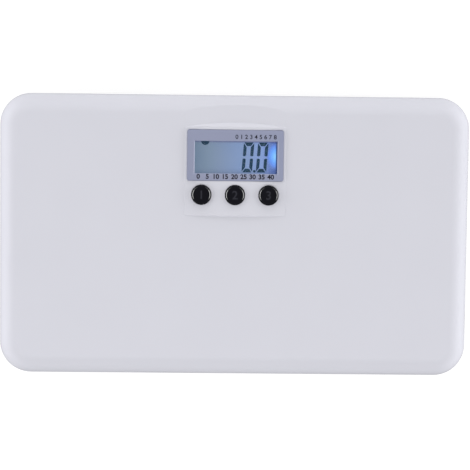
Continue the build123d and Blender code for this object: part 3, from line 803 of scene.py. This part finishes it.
def button_cap(side, x):
    """A glossy cap with a raised rim and a flat middle, its stem, legs and stop tabs. The
    rim's inner slope is smoother towards its ends, a little behind its middle."""
    r, y = BUTTON_RADIUS, BUTTON_Y
    bm = bmesh.new()
    profile = [(0, CAP_FLOOR_Z), (r - 0.1, CAP_FLOOR_Z), (r, CAP_FLOOR_Z + 0.1)]
    profile += [(r - inward, z) for inward, z in CAP_RIM]
    turned(bm, [*profile, (0, CAP_MIDDLE_Z)], 96, x, y)
    for face in bm.faces:
        place = face.calc_center_median()
        out = math.hypot(place.x - x, place.y - y)
        along = 0.96 * abs(place.x - x) + 0.28 * (place.y - y)
        if place.z > 33 and r - 1.1 < out < r - 0.5:
            face.material_index = (along > out * 0.68) + (along > out * 0.82)
    box(bm, (x - 1.5, y - 1.5, CAP_LEGS_Z + 0.2), (x + 1.5, y + 1.5, CAP_FLOOR_Z + 0.1))
    for hand in (-1, 1):
        leg, tab = x + hand * (r - 0.8), x + hand * (r + 0.5)
        box(bm, (leg - 0.6, y - 1.5, CAP_LEGS_Z), (leg + 0.6, y + 1.5, CAP_FLOOR_Z + 0.1))
        box(bm, (tab - 0.9, y - 1.5, CAP_LEGS_Z), (tab + 0.9, y + 1.5, CAP_LEGS_Z + 0.9))
    finishes = [button_black, button_edge, button_bead]
    piece("cap_" + side, bm, finishes, side + "_button", "black_button", "button_" + side)


def figures(text, height, weight, x, y, z):
    """Plain figures as a thin solid print, centred at a place on a surface."""
    curve = bpy.data.curves.new("figures", "FONT")
    curve.body, curve.align_x, curve.align_y = text, "CENTER", "CENTER"
    curve.size, curve.offset = height / FIGURE_RISE, weight
    holder = bpy.data.objects.new("figures", curve)
    flat = bpy.data.meshes.new_from_object(holder)
    bm = bmesh.new()
    bm.from_mesh(flat)
    bpy.data.objects.remove(holder)
    bpy.data.curves.remove(curve)
    bpy.data.meshes.remove(flat)
    bmesh.ops.remove_doubles(bm, verts=bm.verts[:], dist=MERGE)
    middle = (min(v.co.x for v in bm.verts) + max(v.co.x for v in bm.verts)) / 2
    tall = (min(v.co.y for v in bm.verts) + max(v.co.y for v in bm.verts)) / 2
    bmesh.ops.translate(bm, vec=(x - middle, y - tall, z - PRINT), verts=bm.verts[:])
    thickened(bm, bm.faces[:], 2 * PRINT)
    return bm


for (side, x), figure in zip(BUTTONS.items(), "123"):
    button_cap(side, x)
    bm = figures(figure, 6.0, 0.12, x, BUTTON_Y, CAP_MIDDLE_Z)
    piece("figure_" + side, bm, print_grey, side + "_button", "black_button")


# ---------------------------------------------------------------- display


def bezel():
    """The satin bezel with a bevelled edge round its window."""
    bm, window, flare = bmesh.new(), bmesh.new(), bmesh.new()
    size = BEZEL_LENGTH, BEZEL_WIDTH
    plate(bm, *size, 1.6, BEZEL_FLOOR_Z, BEZEL_TOP_Z, 0, BEZEL_Y, steps=8)
    bevel_edges(bm, edges_at(bm, BEZEL_TOP_Z), 0.3, 3)
    size, place = (APERTURE_LENGTH, APERTURE_WIDTH), (APERTURE_X, APERTURE_Y)
    plate(window, *size, 0, BEZEL_FLOOR_Z - 1, FIELD_Z + 1, *place)
    plate(flare, *size, 0, BEZEL_TOP_Z - 0.6, BEZEL_TOP_Z + 1, *place, draft=-1.0)
    bm = carved(bm, window, flare)
    piece("bezel", bm, bezel_grey, "housing", "silver_bezel", "display_frame", sharp=25)


def bezel_print():
    """Plain rows of figures under the window, and above its right half."""
    bm = bmesh.new()
    for row, height, weight, first, step, y in PRINT_ROWS:
        for i, text in enumerate(row.split()):
            joined(bm, figures(text, height, weight, first + step * i, y, BEZEL_TOP_Z))
    piece("bezel_figures", bm, print_dark, "housing", "silver_bezel")


def segment(bm, corners, round_by):
    """A thin solid segment from its corners, with its corners rounded."""
    face = bm.faces.new([bm.verts.new((x, y, 0)) for x, y in corners])
    rounded = bmesh.ops.bevel(
        bm, geom=face.verts[:], offset=round_by, offset_type="OFFSET", segments=3,
        profile=0.5, affect="VERTICES", material=-1,
    )
    thickened(bm, [rounded["verts"][0].link_faces[0]], INK)


def nought(bm, x, y):
    """A segment nought, leaning a little: wedges at its head and foot, two bars a side."""
    shape = bmesh.new()
    for up in (-1, 1):
        segment(shape, [(a, b * up) for a, b in NOUGHT_WEDGE], WEDGE_ROUND)
        for side in (-1, 1):
            segment(shape, [(a * side, b * up) for a, b in NOUGHT_BAR], BAR_ROUND)
    lean = Matrix.Identity(4)
    lean[0][1] = math.tan(math.radians(NOUGHT_LEAN))
    place = Matrix.Translation((x, y, CELL_TOP_Z)) @ lean
    bmesh.ops.transform(shape, matrix=place, verts=shape.verts[:])
    joined(bm, shape)


def spot(radius, steps, x, y):
    """A thin round spot on the cell."""
    bm = bmesh.new()
    turned(bm, [(0, 0), (radius, 0), (radius, INK), (0, INK)], steps, x, y)
    bmesh.ops.translate(bm, vec=(0, 0, CELL_TOP_Z), verts=bm.verts[:])
    return bm


def readout():
    """What the display shows: two noughts and a point, and a half disc at its back edge."""
    bm = bmesh.new()
    for x in NOUGHTS_X:
        nought(bm, x, NOUGHTS_Y)
    joined(bm, spot(POINT_RADIUS, 16, POINT_X, POINT_Y))
    piece("readout", bm, segment_ink, "housing", "lcd_cell")
    disc, back = spot(HALF_DISC_RADIUS, 32, HALF_DISC_X, HALF_DISC_Y), bmesh.new()
    low = (HALF_DISC_X - 4, HALF_DISC_Y, CELL_TOP_Z - 1)
    high = (HALF_DISC_X + 4, HALF_DISC_Y + 3.65, CELL_TOP_Z + 1)
    box(back, low, high)
    piece("half_disc", carved(disc, back), segment_ink, "housing", "lcd_cell")


bezel()
bezel_print()
readout()


# ---------------------------------------------------------------- tray, door and feet


def softened(name, node, material, body, slot, edge):
    """A source part with its edges slightly rounded, in its place."""
    bm = bmesh.new()
    bm.from_mesh(nodes[node].data)
    bmesh.ops.scale(bm, vec=(1000, 1000, 1000), verts=bm.verts[:])
    bmesh.ops.remove_doubles(bm, verts=bm.verts[:], dist=MERGE)
    bmesh.ops.dissolve_limit(
        bm, angle_limit=math.radians(0.4), use_dissolve_boundaries=False,
        verts=bm.verts[:], edges=bm.edges[:], delimit=set(),
    )
    corner = math.radians(35)
    hard = [e for e in bm.edges if e.is_manifold and e.calc_face_angle(0.0) > corner]
    bmesh.ops.bevel(
        bm, geom=hard, offset=edge, offset_type="OFFSET", segments=2, profile=0.5,
        affect="EDGES", clamp_overlap=True, material=-1,
    )
    piece(name, bm, material, body, slot, node)


def feet():
    """The four foot discs with their stiffening crosses, and the ringed rubber pads."""
    discs, pads = bmesh.new(), bmesh.new()
    disc = [
        (0, 1.8), (17.3, 1.8), (17.75, 1.92), (18.0, 2.3), (18.0, 4.0), (17.8, 4.42),
        (17.3, 4.6), (0, 4.6),
    ]
    pad = [(0, 0.4)]
    for radius in (3.2, 7.6):
        pad += [(radius, 0.4), (radius + 0.3, 0), (radius + 2.4, 0), (radius + 2.7, 0.4)]
    pad += [
        (12.0, 0.4), (12.3, 0), (14.9, 0), (15.3, 0.12), (15.5, 0.45), (15.5, 1.8), (0, 1.8),
    ]
    for x_side, y_side in CORNERS.values():
        x, y = x_side * CELL_X, y_side * CELL_Y
        turned(discs, disc, 72, x, y)
        for length, top in ((14, 7.0), (4.5, 11.6)):
            box(discs, (x - length, y - 1, 4.5), (x + length, y + 1, top))
            box(discs, (x - 1, y - length, 4.5), (x + 1, y + length, top))
        turned(pads, pad, 72, x, y)
    piece("foot_discs", discs, foot_grey, "housing", "foot_plastic", "foot_cups")
    piece("ringed_pads", pads, pad_black, "housing", "pad_rubber", "foot_pads")


def screws():
    """Countersunk screws with a cross recess and a ringed thread."""
    bm = bmesh.new()
    outline = [(0, 6.2), (2.85, 6.2), (3.0, 6.32), (1.25, 8.05), (1.05, 8.6)]
    for i in range(16):
        z = 9.2 + 0.8 * i
        outline += [(1.2, z), (0.95, z + 0.4)]
    outline += [(0.3, 22.0), (0, 22.0)]
    for side in (-1, 1):
        x, y = side * SCREW_X, SCREW_Y
        screw, slots = bmesh.new(), [bmesh.new(), bmesh.new()]
        turned(screw, outline, 36, x, y)
        for slot, (a, b) in zip(slots, ((1.7, 0.42), (0.42, 1.7))):
            for vert in box(slot, (x - a, y - b, 5.9), (x + a, y + b, 7.5)):
                if vert.co.z > 7:
                    vert.co.x += (x - vert.co.x) * 0.45
                    vert.co.y += (y - vert.co.y) * 0.45
        joined(bm, carved(screw, *slots))
    piece("cross_head_screws", bm, screw_zinc, "housing", "screw_steel", "housing_screws")


def battery(row):
    """A small battery: a sleeved can with a copper band, a nub and a recessed flat end."""
    side = 1 if row % 2 == 0 else -1
    bm = bmesh.new()
    outline = [
        (0, 0.15), (3.6, 0.15), (3.9, 0), (4.9, 0), (5.2, 0.25), (5.25, 0.6), (5.25, 31),
        (5.25, 31.1), (5.25, 42.6), (5.15, 43.1), (4.8, 43.35), (2.9, 43.35), (2.1, 43.45),
        (2.0, 43.6), (1.95, 44.35), (1.75, BATTERY_LENGTH), (0, BATTERY_LENGTH),
    ]
    turned(bm, outline, 48)
    for face in bm.faces:
        z = face.calc_center_median().z
        if z < 0.3 or z > 42.9:
            face.material_index = 2
        elif z > 31.05:
            face.material_index = 1
    y = BAY_Y + BATTERY_PITCH * (row - 1)
    start = side * (BAY_HALF - 0.4 - BATTERY_LENGTH)
    lying = Matrix.Rotation(side * math.pi / 2, 4, "Y")
    lying = Matrix.Translation((start, y, BATTERY_Z)) @ lying
    bmesh.ops.transform(bm, matrix=lying, verts=bm.verts[:])
    finishes = [battery_sleeve, battery_band, battery_steel]
    piece(f"cell_{row + 1}", bm, finishes, "housing", "battery_jacket", f"battery_{row + 1}")


softened("tray", "base_tray", satin_white, "housing", "white_matte", 0.25)
softened("bay_door", "battery_door", satin_white, "door", "white_matte", 0.18)
feet()
screws()
for row in range(3):
    battery(row)

# ---------------------------------------------------------------- the source's own parts

worn = {
    "display_lens": lens_clear,
    "lcd_panel": lit_glass,
    "lcd_holder": holder_white,
    "zebra_strips": zebra_rubber,
    "backlight_guide": guide_acrylic,
    "backlight_led": lamp_body,
    "main_board": board_mask,
    "processor_chip": chip_epoxy,
    "board_resistors": chip_epoxy,
    "board_plugs": plug_nylon,
    "battery_plates": contact_nickel,
    "battery_springs": contact_nickel,
    "lead_battery_plus": wire_red,
    "lead_battery_minus": wire_black,
}
for side in BUTTONS:
    worn["switch_" + side] = switch_moulding
    worn["switch_plunger_" + side] = plunger_white
for corner in CORNERS:
    worn["load_cell_" + corner] = cell_steel
    worn["strain_gauge_" + corner] = gauge_resin
    worn["cell_retainer_" + corner] = foot_grey
    worn["lead_" + corner] = wire_ribbon
for name, material in worn.items():
    nodes[name].data.materials.clear()
    nodes[name].data.materials.append(material)

bpy.context.scene.view_settings.view_transform = "Standard"
